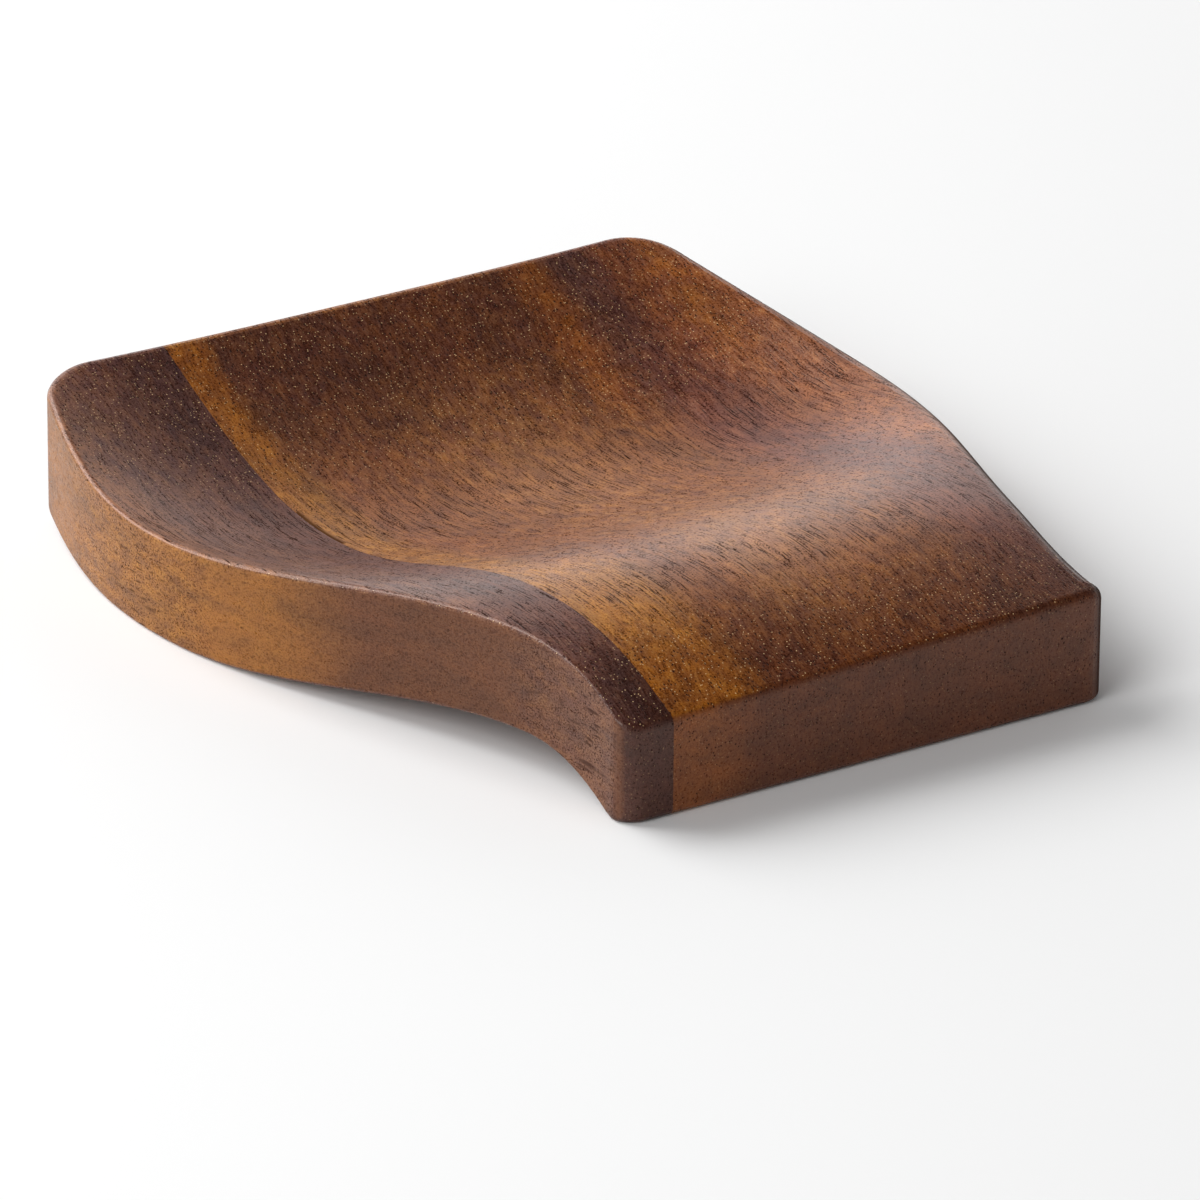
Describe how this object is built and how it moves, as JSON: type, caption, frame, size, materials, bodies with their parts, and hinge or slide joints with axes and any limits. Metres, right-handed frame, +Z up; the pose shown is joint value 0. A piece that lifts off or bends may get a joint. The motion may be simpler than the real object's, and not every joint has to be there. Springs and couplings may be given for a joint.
{
  "type": "spoon rest",
  "caption": "Wave-shaped wooden spoon rest with a dished hollow for the spoon's head and a low hump for its handle, made of a dark board edge-glued to a brown one.",
  "frame": {"origin": "on the table, under the middle of the slab's length and width", "axes": "+Z up, +Y from the front end towards the raised back lip, +X to the right when facing the back lip"},
  "size_m": [0.117, 0.13, 0.0205],
  "materials": {
    "dark_wood": "oiled, satin, open-pored, dark brown",
    "brown_wood": "oiled, satin, open-pored, brown with amber and dark streaks"
  },
  "bodies": {
    "root": {"narrow_stave": "dark_wood", "wide_stave": "brown_wood"}
  },
  "joints": []
}
